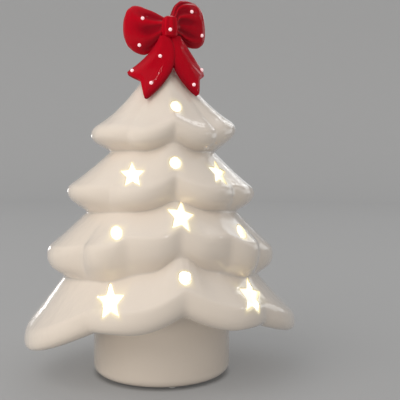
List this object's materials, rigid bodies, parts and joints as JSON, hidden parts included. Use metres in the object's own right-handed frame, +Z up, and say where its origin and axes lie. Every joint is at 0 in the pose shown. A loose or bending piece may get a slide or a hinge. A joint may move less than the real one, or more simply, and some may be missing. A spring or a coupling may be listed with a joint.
{
  "type": "ceramic christmas tree",
  "caption": "Hollow glazed ceramic christmas tree with four draped skirts, cut-out stars and round holes, a red bow on top and a plug-in battery light unit in its foot.",
  "frame": {"origin": "middle of the foot, on the surface that the tree stands on", "axes": "+Z up, the tree's front faces -Y, +X is the tree's right as seen from the front"},
  "size_m": [0.1808, 0.166, 0.2449],
  "materials": {
    "white_glaze": "glossy warm white glaze",
    "red_glaze": "glossy deep red glaze",
    "white_enamel": "glossy raised enamel",
    "clear_rubber": "translucent soft silicone",
    "white_plastic": "fine matt texture",
    "frosted_plastic": "frosted translucent",
    "black_plastic": "satin",
    "steel": "nickel plated",
    "board": "solder mask",
    "led_lens": "clear warm lens",
    "battery_can": "printed sleeve without print",
    "red_insulation": "smooth",
    "black_insulation": "smooth"
  },
  "bodies": {
    "tree": {"tree_body": "white_glaze", "bow_loop_left": "red_glaze", "bow_loop_right": "red_glaze", "bow_knot": "red_glaze", "bow_tail_left": "red_glaze", "bow_tail_right": "red_glaze", "bow_dots": "white_enamel", "foot_pads": "clear_rubber"},
    "light_unit": {"light_base": "white_plastic", "base_gasket": "clear_rubber", "light_cover": "white_plastic", "cover_screws": "steel", "led_board": "board", "leds": "led_lens", "light_dome": "frosted_plastic", "switch_case": "black_plastic", "battery_left": "battery_can", "battery_right": "battery_can", "contact_bridge": "steel", "contact_plates": "steel", "contact_springs": "steel", "red_wire": "red_insulation", "black_wires": "black_insulation"},
    "switch": {"switch_knob": "black_plastic"},
    "door": {"battery_door": "white_plastic"}
  },
  "joints": [
    {"name": "light_unit_pull", "type": "slide", "parent": "tree", "child": "light_unit", "axis": [0, 0, -1], "range_m": [0, 0.055]},
    {"name": "switch_slide", "type": "slide", "parent": "light_unit", "child": "switch", "axis": [1, 0, 0], "range_m": [0, 0.003]},
    {"name": "battery_door_hinge", "type": "hinge", "parent": "light_unit", "child": "door", "pos_m": [-0.02965, 0, 0.0036], "axis": [0, 1, 0], "range_deg": [0, 95]}
  ]
}
